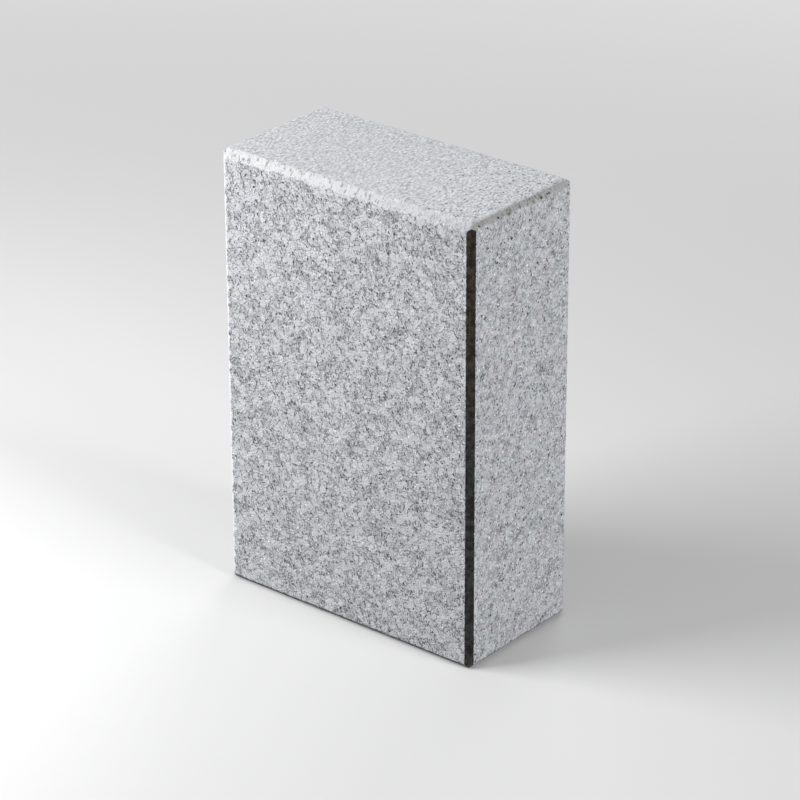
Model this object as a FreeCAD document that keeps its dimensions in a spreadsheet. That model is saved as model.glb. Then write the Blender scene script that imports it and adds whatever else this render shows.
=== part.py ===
# Granite sett, one block of pale grey granite that stands on its foot.
# The block is sawn square. Every arris is then taken off by one straight pass from end to end,
# so three bevels meet in a mitre point at each of the eight corners.
# Frame: millimetres, +Z up the block, origin at the middle of its foot. The broad faces look
# along -Y and +Y, the narrow faces along -X and +X, and the head is the upper end.
import FreeCAD, Part
import Sketcher
import os

# Driving dimensions as alias, size in millimetres and meaning
DIMENSIONS = (
    ("block_length", 150.0, "from foot to head"),
    ("block_width", 100.0, "across a broad face"),
    ("block_thickness", 50.0, "across a narrow face"),
    ("side_arris", 2.0, "leg of the bevel on the four upright arrises"),
    ("broad_head_arris", 2.3, "leg of the bevel between the head and a broad face"),
    ("narrow_head_arris", 1.7, "leg of the bevel between the head and a narrow face"),
    ("foot_arris", 1.5, "leg of the bevel round the foot"),
)
SHEET = "sizes"
NODE = "granite_sett"

# Each pass of the bevelling tool as name, the plane that it is seen in, the plane that it is
# mirrored in, the block's sizes across and along that view, and its arrises at top and bottom
PASSES = (
    ("upright_bevels", "XY_Plane", "YZ_Plane",
     "block_width", "block_thickness", "side_arris", "side_arris"),
    ("broad_end_bevels", "YZ_Plane", "XZ_Plane",
     "block_thickness", "block_length", "broad_head_arris", "foot_arris"),
    ("narrow_end_bevels", "XZ_Plane", "YZ_Plane",
     "block_width", "block_length", "narrow_head_arris", "foot_arris"),
)
TOP, BOTTOM = 1, -1

# The sketcher's numbers for a line's two ends and for the sketch's own origin
START, END = 1, 2
SKETCH_ORIGIN = (-1, 1)


def make_sheet(doc):
    """The spreadsheet of driving dimensions, with one row for each."""
    sheet = doc.addObject("Spreadsheet::Sheet", SHEET)
    for row, (alias, size, meaning) in enumerate(DIMENSIONS, start=1):
        sheet.set(f"A{row}", str(size))
        sheet.setAlias(f"A{row}", alias)
        sheet.set(f"B{row}", meaning)
    doc.recompute()
    return sheet


def origin_plane(body, role):
    """One of the body's own three planes."""
    return next(plane for plane in body.Origin.OriginFeatures if plane.Role == role)


def new_sketch(body, name, role):
    """An empty sketch on one of the body's own planes."""
    sketch = body.newObject("Sketcher::SketchObject", name)
    sketch.AttachmentSupport = [(origin_plane(body, role), "")]
    sketch.MapMode = "FlatFace"
    return sketch


def closed_outline(sketch, corners):
    """Lines joined end to start round the corners. Gives the number of each line."""
    points = [FreeCAD.Vector(across, up, 0) for across, up in corners]
    following = points[1:] + points[:1]
    lines = [sketch.addGeometry(Part.LineSegment(a, b), False) for a, b in zip(points, following)]
    for line, after in zip(lines, lines[1:] + lines[:1]):
        sketch.addConstraint(Sketcher.Constraint("Coincident", line, END, after, START))
    return lines


def dimension(sketch, sheet, name, kind, ends, alias, divisor=1):
    """A named dimension between two ends, bound to a size in the sheet or to a part of it."""
    size = getattr(sheet, alias) / divisor
    number = sketch.addConstraint(Sketcher.Constraint(kind, *ends, size))
    sketch.renameConstraint(number, name)
    sketch.setExpression(f"Constraints.{name}", f"{SHEET}.{alias} / {divisor}")


def sawn_blank(body, sheet):
    """The square-edged block, centred on the body's origin."""
    sketch = new_sketch(body, "blank_outline", "XY_Plane")
    x, y = sheet.block_width / 2, sheet.block_thickness / 2
    front, right, back, left = closed_outline(sketch, [(-x, -y), (x, -y), (x, y), (-x, y)])
    for line in (front, back):
        sketch.addConstraint(Sketcher.Constraint("Horizontal", line))
    for line in (left, right):
        sketch.addConstraint(Sketcher.Constraint("Vertical", line))
    opposite_corners = (front, START, back, START)
    sketch.addConstraint(Sketcher.Constraint("Symmetric", *opposite_corners, *SKETCH_ORIGIN))
    dimension(sketch, sheet, "width", "DistanceX", (front, START, front, END), "block_width")
    dimension(sketch, sheet, "thickness", "DistanceY", (right, START, right, END), "block_thickness")
    pad = body.newObject("PartDesign::Pad", "sawn_blank")
    pad.Profile = sketch
    pad.SideType = "Symmetric"
    pad.setExpression("Length", f"{SHEET}.block_length")
    return pad


def waste_triangle(sketch, sheet, name, across, along, arris, end):
    """What a bevel takes off a right-hand corner of a view: a right triangle with equal legs.

    across and along are the block's sizes in the view, and end says which end of it.
    """
    x, y = getattr(sheet, across) / 2, end * getattr(sheet, along) / 2
    leg = getattr(sheet, arris)
    flat, _, upright = closed_outline(sketch, [(x, y), (x - leg, y), (x, y - end * leg)])
    sketch.addConstraint(Sketcher.Constraint("Horizontal", flat))
    sketch.addConstraint(Sketcher.Constraint("Vertical", upright))
    sketch.addConstraint(Sketcher.Constraint("Equal", flat, upright))
    corner = (flat, START)
    sideways = (*SKETCH_ORIGIN, *corner)
    upward = sideways if end == TOP else (*corner, *SKETCH_ORIGIN)
    dimension(sketch, sheet, f"{name}_across", "DistanceX", sideways, across, divisor=2)
    dimension(sketch, sheet, f"{name}_along", "DistanceY", upward, along, divisor=2)
    dimension(sketch, sheet, f"{name}_leg", "DistanceX", (flat, END, *corner), arris)


def bevel_pass(body, sheet, name, view, mirror, across, along, top_arris, bottom_arris):
    """Bevels the two arrises at the right of a view, from end to end, and mirrors them."""
    sketch = new_sketch(body, f"{name}_waste", view)
    waste_triangle(sketch, sheet, "top", across, along, top_arris, TOP)
    waste_triangle(sketch, sheet, "bottom", across, along, bottom_arris, BOTTOM)
    pocket = body.newObject("PartDesign::Pocket", f"{name}_right")
    pocket.Profile = sketch
    pocket.Type = "ThroughAll"
    pocket.SideType = "Symmetric"
    mirrored = body.newObject("PartDesign::Mirrored", name)
    mirrored.Originals = [pocket]
    mirrored.MirrorPlane = (origin_plane(body, mirror), [""])
    body.Tip = mirrored
    return [pocket, mirrored]


def check_cuts(features):
    """Stops unless each feature after the first takes stone off the one before it."""
    for before, after in zip(features, features[1:]):
        if not after.Shape.Volume < before.Shape.Volume:
            raise RuntimeError(f"{after.Name} cuts nothing")


def check_document(doc, body):
    """Stops if an object failed, or the block isn't one valid solid."""
    for thing in doc.Objects:
        if {"Invalid", "Error"} & set(thing.State):
            raise RuntimeError(f"{thing.Name} failed: {thing.State}")
    shape = body.Shape
    if shape.isNull() or not shape.isValid() or len(shape.Solids) != 1:
        raise RuntimeError(f"{body.Label} isn't one valid solid")


doc = FreeCAD.newDocument("sett")
sheet = make_sheet(doc)
sett = doc.addObject("PartDesign::Body", NODE)
sett.Label = NODE
sett.setExpression("Placement.Base.z", f"{SHEET}.block_length / 2")
features = [sawn_blank(sett, sheet)]
for bevels in PASSES:
    features += bevel_pass(sett, sheet, *bevels)
doc.recompute()
check_document(doc, sett)
check_cuts(features)

os.makedirs("parts", exist_ok=True)
sett.Shape.exportStep(f"parts/{sett.Label}.step")
box = sett.Shape.BoundBox
print(f"{sett.Label}: {box.XLength:.1f} x {box.YLength:.1f} x {box.ZLength:.1f} mm")
print(f"from z {box.ZMin:.2f} mm, {len(sett.Shape.Faces)} faces, volume {sett.Shape.Volume:.0f} mm3")
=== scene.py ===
# The looks of a granite sett, one block of pale grey granite that stands on its foot.
# One fine mesh stands for the block. Its bevels are chipped and its head is rough, and its
# crystals, mica, soiled right-hand head bevel and the painted shade, reflection and rim
# highlights on its other bevels are in one procedural material.
# The row frame has +Z up and its origin at the middle of the foot. Lengths are in metres, apart
# from those that the material works with, which are in millimetres.
import math

import bpy
import numpy as np
from mathutils import Matrix, Vector, noise


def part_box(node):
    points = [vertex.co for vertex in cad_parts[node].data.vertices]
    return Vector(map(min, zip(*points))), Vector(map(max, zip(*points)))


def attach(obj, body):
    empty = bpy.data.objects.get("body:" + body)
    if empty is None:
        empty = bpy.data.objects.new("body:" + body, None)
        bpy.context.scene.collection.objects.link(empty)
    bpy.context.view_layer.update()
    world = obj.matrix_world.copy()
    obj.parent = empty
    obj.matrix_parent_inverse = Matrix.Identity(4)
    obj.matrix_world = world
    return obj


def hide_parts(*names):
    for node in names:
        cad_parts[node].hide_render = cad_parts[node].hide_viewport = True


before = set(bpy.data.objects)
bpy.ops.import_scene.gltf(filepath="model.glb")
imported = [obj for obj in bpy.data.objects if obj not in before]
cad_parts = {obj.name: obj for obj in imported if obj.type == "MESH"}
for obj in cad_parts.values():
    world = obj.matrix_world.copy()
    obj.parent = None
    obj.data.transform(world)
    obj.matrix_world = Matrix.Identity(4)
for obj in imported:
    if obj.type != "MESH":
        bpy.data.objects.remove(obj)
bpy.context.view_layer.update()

MM = 0.001
NODE = "granite_sett"

# How near to a face of the CAD block a point counts as on it
FLAT_TOLERANCE = 0.01 * MM

# The mesh's grid: its pitch across the block and up its middle, how near to an end the rows
# close up, and how many rows of the foot are kept round the one face of its flat
GRID_PITCH = 0.5 * MM
TALL_PITCH = 1.4 * MM
END_BAND = 5.0 * MM
FOOT_ROWS = 6

# One bevel's cut can push a point past another bevel, so the cuts are made this many times
CUT_ROUNDS = 3

# Deepest chips in the bevels
FRONT_HEAD_CHIPS = 0.42 * MM
HEAD_CHIPS = 0.22 * MM
SIDE_CHIPS = 0.10 * MM
# How broken an arris is on average, and its small and large chips as length and strength
CHIP_LEVEL = 0.3
CHIPS = ((1.1 * MM, 0.8), (3.6 * MM, 0.9))

# Relief, always inwards: its depth, and the size of its marks along X, Y and Z
HEAD_RELIEF = 0.03 * MM
SIDE_RELIEF = 0.03 * MM
HEAD_MARK = Vector((1.1, 2.8, 1.1)) * MM
SIDE_MARK = Vector((2.6, 2.6, 2.6)) * MM
# How fast the finer layers of marks weaken, how much finer each is, and how many there are
RELIEF_FALLOFF = 0.6
RELIEF_GAP = 2.2
RELIEF_LAYERS = 3

# The grain: how wide the pale grains are in millimetres, the widths of the finer ones that mottle
# them as a share of that, their brightness at four values of their tone, and how cool greys are
GRAIN = 2.3
MIDDLING_GRAIN = 0.42
FINE_GRAIN = 0.25
PALE_TONES = ((0.12, 0.38), (0.35, 0.50), (0.6, 0.60), (0.88, 0.74))
COOL = -0.03
# How far the grains' outlines wander in millimetres, and how many waves they have in one
WARP_REACH = 0.8
WARP_WAVES = 1.1

# The direction that the stone splits across, and how thick its flakes and its streaks of mica
# are in that direction, as a share of their width
RIFT = Vector((3.0, -1.7, 1.0)).normalized()
FLAKE_FLATNESS = 0.42
STREAK_FLATNESS = 0.28
# Mica flakes as size in millimetres, share inside the grains, share along their seams, darkness
MICA = ((1.3, 0.05, 0.20, 0.97), (0.85, 0.12, 0.38, 0.97), (0.55, 0.12, 0.28, 0.9))
# The size of the cells that hold the small dark dots and the glints, in millimetres
DOT_SIZE = 0.9

# The head's dressing marks: how far they turn off the block's Y axis in degrees, and the sizes
# in millimetres of their streaks, of the crushed crumbs and of the lumps of crushed stone
DRESSING_TURN = 10.0
STREAK_SIZE = 0.32
CRUMB_SIZE = 0.36
LUMP_SIZE = 0.8
# Dark specks on the head as size in millimetres, share at its right-hand end and darkness
HEAD_SPECKS = ((0.6, 0.24, 0.95), (0.9, 0.20, 1.0))

# The painted dark reflection on the front upright bevel, as linear red, green and blue
REFLECTION_BLACK = (0.011, 0.010, 0.009, 1.0)
REFLECTION_BROWN = (0.060, 0.044, 0.036, 1.0)
REFLECTION_GREY = (0.044, 0.044, 0.043, 1.0)

# The stone's surface: how rough it is, how much it shines, and the depth of its bumps
ROUGHNESS = 0.75
SHINE = 0.2
BUMP_DEPTH = 1.1 * MM

# The floor's half width, its brightness as light and as seen, and how far from the stone it
# starts to fade into the sky and ends
FLOOR_REACH = 6.0
FLOOR_LIGHT = 0.22
FLOOR_SEEN = 0.68
HAZE_START = 0.2
HAZE_END = 0.9

# Brightness of the sky as light and as seen
SKY_LIGHT = 0.28
SKY_SEEN = 0.78

# The lamps as name, place, width and power in watts, and the point that they look at
LAMPS = (
    ("key", (-0.32, -0.31, 0.34), 0.35, 3.55),
    ("fill", (1.2, 0.0, 0.53), 0.5, 10.5),
    ("back", (-0.5, 1.2, 0.5), 0.6, 6.0),
)
LAMP_AIM = Vector((0, 0, 0.09))

# The camera: where it looks from, in degrees and metres, and its lens on a 36 mm sensor
CAMERA_AZIMUTH = 39.56
CAMERA_ELEVATION = 25.40
CAMERA_ROLL = -0.22
CAMERA_DISTANCE = 1.1964
CAMERA_RIGHT = 0.00129
CAMERA_UP = 0.06267
SENSOR = 36.0
FOCAL_LENGTH = 166.2


def grid_lines(low, high, pitch):
    """Even places from low to high, about a pitch apart."""
    return np.linspace(low, high, round((high - low) / pitch) + 1)


def upright_lines(low, high):
    """Places up the block, which are close together near its foot and head."""
    foot_end = grid_lines(low, low + END_BAND, GRID_PITCH)
    middle = grid_lines(low + END_BAND, high - END_BAND, TALL_PITCH)
    head_end = grid_lines(high - END_BAND, high, GRID_PITCH)
    return np.concatenate([foot_end, middle[1:-1], head_end])


def quads_between(numbers, flip=False):
    """Quads between the neighbours in a two-way table of point numbers."""
    corners = [numbers[:-1, :-1], numbers[1:, :-1], numbers[1:, 1:], numbers[:-1, 1:]]
    quads = np.stack(corners, axis=-1).reshape(-1, 4)
    return quads[:, ::-1] if flip else quads


def foot_ring(numbers):
    """Quads of the foot's outer rows, and the loop of points round the flat that they leave."""
    rim = FOOT_ROWS
    inside = np.zeros(numbers.shape, bool)
    inside[rim:-rim, rim:-rim] = True
    quads = quads_between(numbers, flip=True)
    flat_quads = quads_between(inside.astype(int)).all(axis=1)
    flat = numbers[rim:-rim, rim:-rim]
    loop = [flat[:, 0], flat[-1, 1:], flat[-2::-1, -1], flat[0, -2:0:-1]]
    return quads[~flat_quads], np.concatenate(loop)[::-1]


def box_grid(low, high):
    """Points and faces of the square block before its bevels, as a fine grid."""
    lines = [
        grid_lines(low.x, high.x, GRID_PITCH),
        grid_lines(low.y, high.y, GRID_PITCH),
        upright_lines(low.z, high.z),
    ]
    counts = [len(places) for places in lines]
    numbers = np.arange(math.prod(counts)).reshape(counts)
    foot_quads, foot_flat = foot_ring(numbers[:, :, 0])
    quads = np.concatenate([
        quads_between(numbers[:, 0, :]),
        quads_between(numbers[-1, :, :]),
        quads_between(numbers[:, -1, :], flip=True),
        quads_between(numbers[0, :, :], flip=True),
        quads_between(numbers[:, :, -1]),
        foot_quads,
    ])
    used, quads = np.unique(quads, return_inverse=True)
    places = np.unravel_index(used, counts)
    points = np.stack([line[place] for line, place in zip(lines, places)], axis=-1)
    return points, quads.reshape(-1, 4).tolist() + [np.searchsorted(used, foot_flat).tolist()]


def bevel_legs(node, low, high):
    """Legs of the bevels by kind, measured from the flats that they leave on the CAD block."""
    corners = np.array([vertex.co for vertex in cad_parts[node].data.vertices])
    broad_flat = corners[corners[:, 1] < low.y + FLAT_TOLERANCE].max(axis=0)
    head_flat = corners[corners[:, 2] > high.z - FLAT_TOLERANCE].max(axis=0)
    foot_flat = corners[corners[:, 2] < low.z + FLAT_TOLERANCE].max(axis=0)
    return {
        "upright": high.x - broad_flat[0],
        "broad_head": high.y - head_flat[1],
        "narrow_head": high.x - head_flat[0],
        "foot": high.x - foot_flat[0],
    }


def bevel_planes(half, legs):
    """Each bevel as its outward normal, its distance from the middle and its chips' depth."""
    planes = []
    for x_sign in (-1, 1):
        for y_sign in (-1, 1):
            planes.append(((x_sign, y_sign, 0), half.x + half.y - legs["upright"], SIDE_CHIPS))
    for sign in (-1, 1):
        broad_chips = FRONT_HEAD_CHIPS if sign < 0 else HEAD_CHIPS
        planes.append(((0, sign, 1), half.y + half.z - legs["broad_head"], broad_chips))
        planes.append(((sign, 0, 1), half.x + half.z - legs["narrow_head"], HEAD_CHIPS))
        planes.append(((0, sign, -1), half.y + half.z - legs["foot"], SIDE_CHIPS))
        planes.append(((sign, 0, -1), half.x + half.z - legs["foot"], SIDE_CHIPS))
    length = math.sqrt(2)
    return [(np.array(normal) / length, reach / length, chips) for normal, reach, chips in planes]


def chipped(points):
    """How broken an arris is at each point, from 0 for whole to about 1."""
    def at(point):
        waves = (strength * noise.noise(Vector(point) / size) for size, strength in CHIPS)
        return max(0.0, sum(waves, start=CHIP_LEVEL))
    return np.array([at(point) for point in points])


def cut_bevels(points, planes, chips):
    """Moves the points that stand out past a bevel onto it, deeper where it is chipped."""
    cut = points.copy()
    for _ in range(CUT_ROUNDS):
        for normal, reach, depth in planes:
            over = np.maximum(cut @ normal - reach + depth * chips, 0.0)
            cut -= over[:, None] * normal
    return cut


def edge_distance(depth_a, depth_b, leg):
    """Distance along the surface from a bevel's edge in millimetres, below zero on the bevel."""
    outside = depth_a + depth_b - leg
    inside = np.maximum(leg - np.abs(depth_a - depth_b), 0)
    return (outside - inside) / MM


def zones(points, half, legs):
    """How far each point is from the bevels of each kind, by the name that the material reads."""
    x, y, z = points.T
    in_narrow, in_broad = half.x - np.abs(x), half.y - np.abs(y)
    in_head, in_foot = half.z - z, half.z + z
    broad_head = edge_distance(in_broad, in_head, legs["broad_head"])
    narrow_head = edge_distance(in_narrow, in_head, legs["narrow_head"])
    return {
        "front_arris": edge_distance(half.x - x, half.y + y, legs["upright"]),
        "upright_arris": edge_distance(in_narrow, in_broad, legs["upright"]),
        "head_arris": np.minimum(broad_head, narrow_head),
        "right_head_arris": edge_distance(half.x - x, in_head, legs["narrow_head"]),
        "foot_arris": edge_distance(np.minimum(in_narrow, in_broad), in_foot, legs["foot"]),
        "below_head": in_head / MM,
        "narrow_face": (in_narrow < in_broad).astype(float),
    }


def relief_marks(points, size):
    """How deep uneven marks of that size are at each point, from 0 to 1."""
    def at(point):
        place = Vector(point)
        scaled = Vector((place.x / size.x, place.y / size.y, place.z / size.z))
        return 0.5 + 0.5 * noise.fractal(scaled, RELIEF_FALLOFF, RELIEF_GAP, RELIEF_LAYERS)
    return np.clip([at(point) for point in points], 0, 1)


def relief_depths(points, zone, legs):
    """Depth of the tool marks on the head and of the faint waves on the sawn sides."""
    on_head = np.clip(1.0 - zone["below_head"] * MM / legs["narrow_head"], 0, 1)
    head = relief_marks(points, HEAD_MARK) * HEAD_RELIEF * on_head
    side = relief_marks(points, SIDE_MARK) * SIDE_RELIEF * (1 - on_head)
    return (head + side) * (zone["foot_arris"] > 0)


def point_normals(mesh):
    """The mesh's own normal at each of its points."""
    normals = np.empty(len(mesh.vertices) * 3, np.float32)
    mesh.vertex_normals.foreach_get("vector", normals)
    return normals.reshape(-1, 3)


def save_zones(mesh, zone):
    """Keeps the zones' distances in the mesh, where the material reads them."""
    for name, distances in zone.items():
        attribute = mesh.attributes.new(name, "FLOAT", "POINT")
        attribute.data.foreach_set("value", distances.astype(np.float32))


def stone_mesh(low, high):
    """The whole stone: bevelled, chipped at its arrises and rough on its head."""
    centre, half = np.array((low + high) / 2), (high - low) / 2
    legs = bevel_legs(NODE, low, high)
    planes = bevel_planes(half, legs)
    points, faces = box_grid(low, high)
    points = points - centre
    whole = cut_bevels(points, planes, np.zeros(len(points)))
    worn = cut_bevels(points, planes, chipped(points))
    zone = zones(whole, half, legs)
    mesh = bpy.data.meshes.new("stone")
    mesh.from_pydata((worn + centre).tolist(), [], faces)
    mesh.shade_smooth()
    worn -= point_normals(mesh) * relief_depths(worn, zone, legs)[:, None]
    mesh.vertices.foreach_set("co", (worn + centre).astype(np.float32).ravel())
    save_zones(mesh, zone)
    mesh.update()
    return mesh


class Shader:
    """The nodes of a material or world, with short calls that add one and join it up.

    A call's values are numbers, vectors and colours, or the output sockets of other nodes.
    """

    def __init__(self, owner):
        owner.use_nodes = True
        self.tree = owner.node_tree
        self.tree.nodes.clear()

    def feed(self, socket, value):
        """Gives an input socket its value, or joins it to another node's output."""
        if isinstance(value, bpy.types.NodeSocket):
            self.tree.links.new(value, socket)
        else:
            socket.default_value = value

    def add(self, kind, inputs=(), **settings):
        """A node of that kind, with what its inputs get by their name or number."""
        node = self.tree.nodes.new("ShaderNode" + kind)
        for name, value in settings.items():
            setattr(node, name, value)
        for key, value in dict(inputs).items():
            self.feed(node.inputs[key], value)
        return node

    def maths(self, operation, *values):
        """What that operation makes of the numbers."""
        return self.add("Math", enumerate(values), operation=operation).outputs[0]

    def times(self, a, b):
        """The product of two numbers."""
        return self.maths("MULTIPLY", a, b)

    def vectors(self, operation, *values, output="Vector"):
        """What that operation makes of the vectors."""
        return self.add("VectorMath", enumerate(values), operation=operation).outputs[output]

    def scaled(self, place, x, y, z):
        """The place multiplied by those numbers on the three axes."""
        return self.vectors("MULTIPLY", place, Vector((x, y, z)))

    def along(self, place, axis):
        """How far along that axis the place is."""
        return self.add("SeparateXYZ", {"Vector": place}).outputs[axis]

    def combine(self, value):
        """A vector with that value on all three axes."""
        return self.add("CombineXYZ", {"X": value, "Y": value, "Z": value}).outputs[0]

    def zone(self, name):
        """One of the mesh's distances, in millimetres."""
        return self.add("Attribute", attribute_name=name).outputs["Fac"]

    def seen(self):
        """1 for the camera's rays, also mirrored or through glass, and 0 for those that light."""
        path = self.add("LightPath").outputs
        mirrored = self.maths("MAXIMUM", path["Is Glossy Ray"], path["Is Transmission Ray"])
        return self.maths("MAXIMUM", path["Is Camera Ray"], mirrored)

    def fade(self, value, low, high, start=0.0, end=1.0):
        """start where value is below low, end where it is above high, and smooth between."""
        inputs = {"Value": value, "From Min": low, "From Max": high, "To Min": start, "To Max": end}
        return self.add("MapRange", inputs, interpolation_type="SMOOTHSTEP").outputs["Result"]

    def below(self, value, low, high, most=1.0):
        """most where value is below low, 0 where it is above high, and smooth between."""
        return self.fade(value, low, high, most, 0.0)

    def mix(self, factor, low, high):
        """The number low where factor is 0 and high where it is 1."""
        return self.add("Mix", {0: factor, 2: low, 3: high}).outputs[0]

    def blend(self, factor, low, high, blend_type="MIX"):
        """The colour low where factor is 0 and high where it is 1."""
        node = self.add("Mix", data_type="RGBA", blend_type=blend_type)
        for key, value in (("Factor_Float", factor), ("A_Color", low), ("B_Color", high)):
            self.feed(next(socket for socket in node.inputs if socket.identifier == key), value)
        return next(socket for socket in node.outputs if socket.identifier == "Result_Color")

    def ramp(self, value, stops):
        """The cool greys of those brightnesses at those values, and even blends between."""
        node = self.add("ValToRGB", {"Fac": value})
        elements = node.color_ramp.elements
        elements.remove(elements[1])
        elements[0].position, elements[0].color = stops[0][0], grey(stops[0][1], COOL)
        for position, brightness in stops[1:]:
            elements.new(position).color = grey(brightness, COOL)
        return node.outputs["Color"]

    def noise(self, place, size, detail=2.0, roughness=0.5):
        """Noise whose waves are about that many millimetres long."""
        inputs = {"Vector": place, "Scale": 1.0 / size, "Detail": detail, "Roughness": roughness}
        return self.add("TexNoise", inputs).outputs["Fac"]

    def colours(self, place, waves, detail):
        """Noise in all three colours, with about that many waves in a millimetre."""
        inputs = {"Vector": place, "Scale": waves, "Detail": detail}
        return self.add("TexNoise", inputs).outputs["Color"]

    def cells(self, place, size):
        """A random value for each cell of about that many millimetres, and how far its point is."""
        node = self.add("TexVoronoi", {"Vector": place, "Scale": 1.0 / size})
        random = self.add("SeparateColor", {"Color": node.outputs["Color"]}).outputs["Red"]
        return random, node.outputs["Distance"]

    def seams(self, place, size):
        """Distance to the nearest border between the cells of that size, in cell widths."""
        inputs = {"Vector": place, "Scale": 1.0 / size}
        return self.add("TexVoronoi", inputs, feature="DISTANCE_TO_EDGE").outputs["Distance"]


# In the functions for the granite, s is its Shader and place the point on the stone in
# millimetres. bent is that point moved a little to and fro, so that the grains' outlines wander.


def grey(value, warmth=0.0):
    """A grey of that brightness, a little browner or, below zero, bluer."""
    return (value * (1 + 0.6 * warmth), value, value * (1 - 1.8 * warmth), 1.0)


def by_face(s, broad, narrow):
    """One number on the broad faces and another on the narrow ones."""
    return s.fade(s.zone("narrow_face"), 0.0, 1.0, broad, narrow)


def jittered(s, zone, place, size, reach):
    """One of the mesh's distances, made uneven by up to about that many millimetres."""
    wander = s.maths("SUBTRACT", s.noise(place, size, detail=3.0), 0.5)
    return s.maths("MULTIPLY_ADD", wander, 2.0 * reach, s.zone(zone))


def flattened(s, place, flatness):
    """The place stretched along the rift, where round cells come out as flakes that flat."""
    depth = s.vectors("DOT_PRODUCT", place, RIFT, output="Value")
    return s.vectors("MULTIPLY_ADD", s.combine(depth), RIFT * (1 / flatness - 1), place)


def flecks(s, place, size, share, darkness, softness, edge):
    """Round marks in that share of the cells, soft at the edge and fainter in the last of them."""
    random, reach = s.cells(place, size)
    beyond = s.maths("SUBTRACT", random, share)
    return s.times(s.below(beyond, -softness, 0.0, darkness), s.below(reach, *edge))


def plain_grains(s, bent):
    """How little a pale grain is mottled, from 0 for those that are mottled most."""
    random, _ = s.cells(bent, GRAIN)
    return s.fade(random, 0.5, 0.6, 0.0, by_face(s, 0.72, 0.4))


def pale_grains(s, place, bent, plain):
    """Colour of the pale grains, which finer ones mottle."""
    big, _ = s.cells(bent, GRAIN)
    middling, _ = s.cells(bent, GRAIN * MIDDLING_GRAIN)
    fine, _ = s.cells(bent, GRAIN * FINE_GRAIN)
    busy = s.mix(by_face(s, 0.55, 0.75), middling, fine)
    tone = s.mix(by_face(s, 0.29, 0.15), s.mix(plain, busy, 0.6), big)
    tone = s.maths("MULTIPLY_ADD", s.maths("SUBTRACT", tone, 0.5), by_face(s, 1.12, 1.5), 0.5)
    hues = s.colours(place, 0.17, detail=2.0)
    return s.blend(by_face(s, 0.04, 0.14), s.ramp(tone, PALE_TONES), hues, "SOFT_LIGHT")


def mica_streaks(s, bent):
    """Thin wavy streaks of mica, broken off here and there."""
    waves = s.noise(flattened(s, bent, STREAK_FLATNESS), 2.8, detail=1.0)
    ridge = s.maths("ABSOLUTE", s.maths("SUBTRACT", waves, 0.5))
    broken = s.fade(s.noise(bent, 2.6), 0.48, 0.56, 0.0, by_face(s, 0.64, 0.55))
    return s.times(s.below(ridge, 0.012, 0.05), broken)


def grain_outlines(s, bent, seam):
    """Thin dark outlines round some of the grains."""
    outlined = s.fade(s.noise(bent, 1.9), 0.5, 0.58, 0.0, by_face(s, 0.48, 0.2))
    return s.times(s.below(seam, 0.03, 0.07), outlined)


def mica_flakes(s, place, bent, seam, plain):
    """Flakes of mica of each size, most of them along the seams and few in the plain grains."""
    clouds = s.fade(s.noise(place, 6.0), 0.3, 0.7, 0.72, 1.28)
    clouds = s.times(clouds, by_face(s, 0.98, 0.42))
    clouds = s.times(clouds, s.fade(seam, 0.0, 0.12, 1.0, s.maths("SUBTRACT", 1.0, plain)))
    flat_place = flattened(s, bent, FLAKE_FLATNESS)
    flakes = []
    for size, inside, at_seam, darkness in MICA:
        share = s.times(s.fade(seam, 0.0, 0.22, at_seam, inside), clouds)
        flakes.append(flecks(s, flat_place, size, share, darkness, 0.05, (0.38, 0.48)))
    return flakes


def crystals(s, place, bent):
    """Colour of the cut stone: pale grains with dark mica, small dark dots and glints."""
    plain = plain_grains(s, bent)
    seam = s.seams(bent, GRAIN)
    random, reach = s.cells(bent, DOT_SIZE)
    mica = s.times(s.maths("LESS_THAN", random, 0.015), s.below(reach, 0.32, 0.42))
    layers = [mica_streaks(s, bent), grain_outlines(s, bent, seam)]
    for layer in layers + mica_flakes(s, place, bent, seam, plain):
        mica = s.maths("MAXIMUM", mica, layer)
    colour = s.blend(mica, pale_grains(s, place, bent, plain), grey(0.045, COOL))
    chosen = s.maths("GREATER_THAN", random, by_face(s, 0.98, 0.96))
    return s.blend(s.times(chosen, s.below(reach, 0.26, 0.40)), colour, grey(0.95))


def dressed_head(s, place):
    """Colour of the head, which close cuts have crushed pale, and the height of their marks."""
    turn = {"Vector": place, "Angle": math.radians(-DRESSING_TURN)}
    turned = s.add("VectorRotate", turn, rotation_type="Z_AXIS").outputs["Vector"]
    streaks = s.noise(s.scaled(turned, 1, 0.12, 1), STREAK_SIZE)
    short = s.scaled(turned, 1, 0.6, 1)
    crumb, _ = s.cells(short, CRUMB_SIZE)
    _, apart = s.cells(short, LUMP_SIZE)
    grit = s.maths("MULTIPLY_ADD", apart, -0.9, s.maths("MULTIPLY_ADD", crumb, 0.4, 0.6))
    tone = s.maths("ADD", grit, s.fade(streaks, 0.36, 0.64, 0.0, 0.3))
    across = s.along(place, "X")
    pale = s.blend(s.fade(across, -20.0, 45.0), grey(0.75, COOL), grey(0.82, COOL))
    colour = s.blend(tone, grey(0.34, COOL), pale)
    for size, most, darkness in HEAD_SPECKS:
        share = s.fade(across, 4.0, 45.0, 0.1 * most, most)
        specks = flecks(s, short, size, share, darkness, 0.1, (0.26, 0.42))
        colour = s.blend(specks, colour, grey(0.05, COOL))
    return colour, streaks


def pale_and_rim_lit_uprights(s, place, colour):
    """The upright bevels are pale as worn arrises, with a painted rim highlight that is strongest
    on the left-hand ones.
    """
    across = s.along(place, "X")
    # Painted rim highlight: the mask is stronger and the grey paler on the left-hand bevels
    paleness_and_rim_light = s.fade(across, -10.0, 10.0, 0.85, 0.45)
    mask = s.below(jittered(s, "upright_arris", place, 1.9, 2.0), 0.1, 0.5, paleness_and_rim_light)
    pale = s.blend(s.fade(across, -10.0, 10.0), grey(0.86, COOL), grey(0.68, COOL))
    return s.blend(mask, colour, pale)


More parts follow.
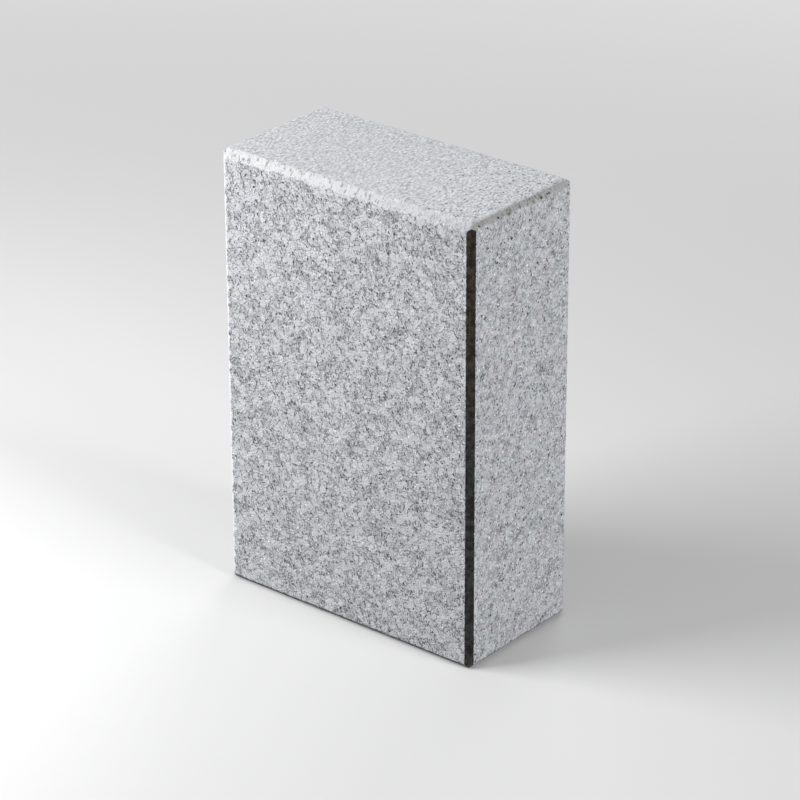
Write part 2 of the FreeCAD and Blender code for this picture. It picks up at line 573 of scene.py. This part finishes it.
def ticked_head_bevels(s, place, colour):
    """The bevels of the head are crushed pale, and its cuts run on over them as dark ticks."""
    right = s.fade(s.along(place, "X"), -25.0, 45.0)
    pale = s.blend(right, grey(0.62, -0.015), grey(0.55, COOL))
    hatches = s.noise(s.scaled(place, 1, 0.3, 0.3), 0.75, detail=3.0)
    ticked = s.blend(s.below(hatches, 0.37, 0.43, 0.7), pale, grey(0.20))
    fray = s.times(s.maths("SUBTRACT", hatches, 0.5), s.fade(right, 0.0, 1.0, 2.0, 8.0))
    edge = s.maths("ADD", jittered(s, "head_arris", place, 1.6, 2.6), fray)
    softness = s.fade(right, 0.1, 0.9, 1.0, 5.0)
    mask = s.below(s.maths("DIVIDE", edge, softness), -0.1, 0.15)
    return s.blend(s.times(mask, s.fade(right, 0.2, 1.0, 0.95, 0.7)), colour, ticked)


def soiled_head_bevel(s, place, colour):
    """The right-hand bevel of the head is soiled, most of all about its middle."""
    back = s.along(place, "Y")
    ribs = s.noise(s.scaled(place, 0.5, 1, 0.5), 0.9, detail=4.0, roughness=0.65)
    strength = s.times(s.fade(back, -20.0, 4.0, 0.25, 0.9), s.fade(back, 2.0, 20.0, 1.0, 0.35))
    dirt = s.times(s.below(ribs, 0.38, 0.54), strength)
    clean = s.blend(s.fade(back, -15.0, 18.0), grey(0.41, 0.014), grey(0.45))
    soil = s.blend(dirt, clean, grey(0.09, 0.02))
    random, reach = s.cells(place, 1.6)
    spot = s.times(s.maths("LESS_THAN", random, 0.2), s.below(reach, 0.22, 0.36, 0.9))
    soil = s.blend(spot, soil, grey(0.02))
    down_bevel = s.below(jittered(s, "right_head_arris", place, 1.9, 1.5), -0.4, 0.9, 0.95)
    below_edge = s.fade(jittered(s, "below_head", place, 0.8, 0.5), 0.2, 0.5)
    return s.blend(s.times(down_bevel, below_edge), colour, soil)


def painted_reflection_front_bevel(s, place, colour):
    """Painted dark reflection: the front upright bevel is painted nearly black up to just below the
    head.
    """
    # The painted reflection is greyer towards the foot and browner towards the head
    worn = s.blend(s.fade(s.along(place, "Z"), 60.0, 130.0), REFLECTION_GREY, REFLECTION_BROWN)
    blotches = s.fade(s.noise(place, 2.2, detail=4.0, roughness=0.6), 0.38, 0.62)
    dark_reflection = s.blend(blotches, REFLECTION_BLACK, worn)
    on_bevel = s.below(jittered(s, "front_arris", place, 0.8, 0.35), -0.02, 0.2)
    below_top = s.maths("MULTIPLY_ADD", s.zone("front_arris"), -0.25, s.zone("below_head"))
    return s.blend(s.times(on_bevel, s.fade(below_top, 1.85, 2.1)), colour, dark_reflection)


def painted_shade_foot(s, place, colour):
    """Painted shade: the bevels round the foot are painted dark grey."""
    mask = s.below(jittered(s, "foot_arris", place, 0.8, 0.35), -0.2, 0.1, 0.7)
    return s.blend(mask, colour, grey(0.10, 0.02))


def granite():
    """The stone's one material."""
    material = bpy.data.materials.new("granite")
    s = Shader(material)
    place = s.scaled(s.add("TexCoord").outputs["Object"], 1 / MM, 1 / MM, 1 / MM)
    warp = s.colours(place, WARP_WAVES, detail=1.0)
    bent = s.vectors("MULTIPLY_ADD", warp, Vector((1, 1, 1)) * WARP_REACH, place)
    head, marks = dressed_head(s, place)
    on_head = s.below(s.zone("below_head"), 0.3, 1.0)
    colour = s.blend(on_head, crystals(s, place, bent), head)
    for finish in (
        pale_and_rim_lit_uprights,
        ticked_head_bevels,
        soiled_head_bevel,
        painted_reflection_front_bevel,
        painted_shade_foot,
    ):
        colour = finish(s, place, colour)
    pits = s.times(s.noise(bent, 0.7), by_face(s, 0.42, 0.65))
    height = s.mix(on_head, pits, s.times(marks, 0.3))
    bump = s.add("Bump", {"Height": height, "Distance": BUMP_DEPTH, "Strength": 1.0})
    surface = s.add("BsdfPrincipled", {
        "Base Color": colour,
        "Roughness": ROUGHNESS,
        "Specular IOR Level": SHINE,
        "Normal": bump.outputs["Normal"],
    })
    s.add("OutputMaterial", {"Surface": surface.outputs["BSDF"]})
    return material


def make_stone():
    """The stone in place of the CAD block."""
    stone = bpy.data.objects.new("stone", stone_mesh(*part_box(NODE)))
    bpy.context.scene.collection.objects.link(stone)
    stone.data.materials.append(granite())
    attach(stone, "root")
    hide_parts(NODE)


def floor_material():
    """Plain pale matt, which fades into the sky some way from the stone where it is seen."""
    material = bpy.data.materials.new("floor")
    s = Shader(material)
    seen = s.seen()
    near = s.add("BsdfDiffuse", {"Color": s.blend(seen, grey(FLOOR_LIGHT), grey(FLOOR_SEEN))})
    far = s.add("Emission", {"Strength": SKY_SEEN})
    distance = s.vectors("LENGTH", s.add("TexCoord").outputs["Object"], output="Value")
    haze = s.times(seen, s.fade(distance, HAZE_START, HAZE_END))
    floor = s.add("MixShader", {0: haze, 1: near.outputs[0], 2: far.outputs[0]})
    s.add("OutputMaterial", {"Surface": floor.outputs[0]})
    return material


def make_floor():
    """A plain pale floor under the stone."""
    signs = ((-1, -1), (1, -1), (1, 1), (-1, 1))
    corners = [(x * FLOOR_REACH, y * FLOOR_REACH, 0) for x, y in signs]
    mesh = bpy.data.meshes.new("floor")
    mesh.from_pydata(corners, [], [(0, 1, 2, 3)])
    mesh.materials.append(floor_material())
    floor = bpy.data.objects.new("floor", mesh)
    bpy.context.scene.collection.objects.link(floor)


def make_lamp(name, place, width, power):
    """A square soft lamp that looks at the block."""
    lamp = bpy.data.lights.new(name, "AREA")
    lamp.size = width
    lamp.energy = power
    thing = bpy.data.objects.new(name, lamp)
    thing.location = place
    aim = LAMP_AIM - thing.location
    thing.rotation_euler = aim.to_track_quat("-Z", "Y").to_euler()
    bpy.context.scene.collection.objects.link(thing)


def make_sky():
    """An even sky, paler where it is seen than where it lights."""
    world = bpy.data.worlds.new("sky")
    s = Shader(world)
    strength = s.fade(s.seen(), 0.0, 1.0, SKY_LIGHT, SKY_SEEN)
    sky = s.add("Background", {"Color": (1.0, 1.0, 1.0, 1.0), "Strength": strength})
    s.add("OutputWorld", {"Surface": sky.outputs[0]})
    bpy.context.scene.world = world


def make_camera():
    """The camera at the photograph's viewing angle."""
    azimuth, elevation = math.radians(CAMERA_AZIMUTH), math.radians(CAMERA_ELEVATION)
    roll = math.radians(CAMERA_ROLL)
    back = Vector((
        math.sin(azimuth) * math.cos(elevation),
        -math.cos(azimuth) * math.cos(elevation),
        math.sin(elevation),
    ))
    level = Vector((math.cos(azimuth), math.sin(azimuth), 0))
    upward = back.cross(level)
    right = math.cos(roll) * level + math.sin(roll) * upward
    up = back.cross(right)
    data = bpy.data.cameras.new("camera")
    data.sensor_width = SENSOR
    data.lens = FOCAL_LENGTH
    camera = bpy.data.objects.new("camera", data)
    place = back * CAMERA_DISTANCE + level * CAMERA_RIGHT + upward * CAMERA_UP
    turn = Matrix((right, up, back)).transposed()
    camera.matrix_world = Matrix.Translation(place) @ turn.to_4x4()
    bpy.context.scene.collection.objects.link(camera)
    bpy.context.scene.camera = camera


make_stone()
make_floor()
for lamp in LAMPS:
    make_lamp(*lamp)
make_sky()
make_camera()
bpy.context.scene.view_settings.view_transform = "Standard"
